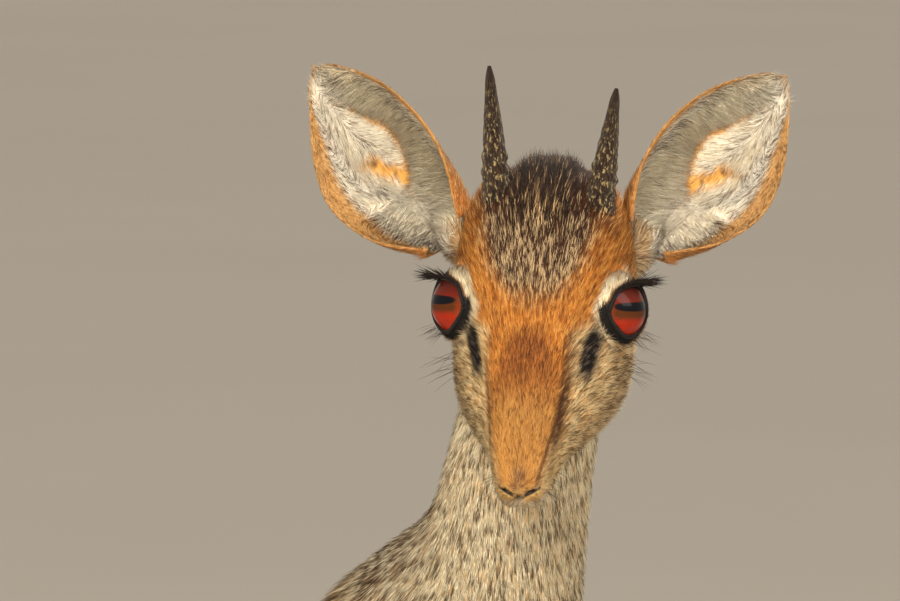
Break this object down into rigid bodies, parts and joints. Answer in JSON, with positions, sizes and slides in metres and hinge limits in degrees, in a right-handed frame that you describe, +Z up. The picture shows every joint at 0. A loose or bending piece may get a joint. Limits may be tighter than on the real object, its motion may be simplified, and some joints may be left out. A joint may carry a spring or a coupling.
{
  "type": "dik-dik antelope model",
  "caption": "Small horned antelope standing square, its neck upright, its head turned to its right and its big cupped ears spread, as a still life-size model.",
  "frame": {"origin": "on the floor, under the middle of the whole object's box", "axes": "+X the way the body faces, +Y its left side, +Z up"},
  "size_m": [0.464, 0.1368, 0.5755],
  "materials": {
    "rufous_coat": "short orange-brown hair",
    "grizzled_coat": "grey-brown hair flecked with cream",
    "tawny_coat": "short tan hair",
    "eye": "wet dark red-brown",
    "horn": "dark ringed horn",
    "hoof": "dark hoof horn"
  },
  "bodies": {
    "root": {"head": "rufous_coat", "neck": "grizzled_coat", "torso": "grizzled_coat", "tail": "grizzled_coat", "ear_left": "rufous_coat", "ear_right": "rufous_coat", "eye_left": "eye", "eye_right": "eye", "horn_left": "horn", "horn_right": "horn", "fore_left_shoulder": "tawny_coat", "fore_left_forearm": "tawny_coat", "fore_left_cannon": "tawny_coat", "fore_left_hoof_outer": "hoof", "fore_left_hoof_inner": "hoof", "fore_right_shoulder": "tawny_coat", "fore_right_forearm": "tawny_coat", "fore_right_cannon": "tawny_coat", "fore_right_hoof_outer": "hoof", "fore_right_hoof_inner": "hoof", "hind_left_thigh": "tawny_coat", "hind_left_shank": "tawny_coat", "hind_left_cannon": "tawny_coat", "hind_left_hoof_outer": "hoof", "hind_left_hoof_inner": "hoof", "hind_right_thigh": "tawny_coat", "hind_right_shank": "tawny_coat", "hind_right_cannon": "tawny_coat", "hind_right_hoof_outer": "hoof", "hind_right_hoof_inner": "hoof"}
  },
  "joints": []
}
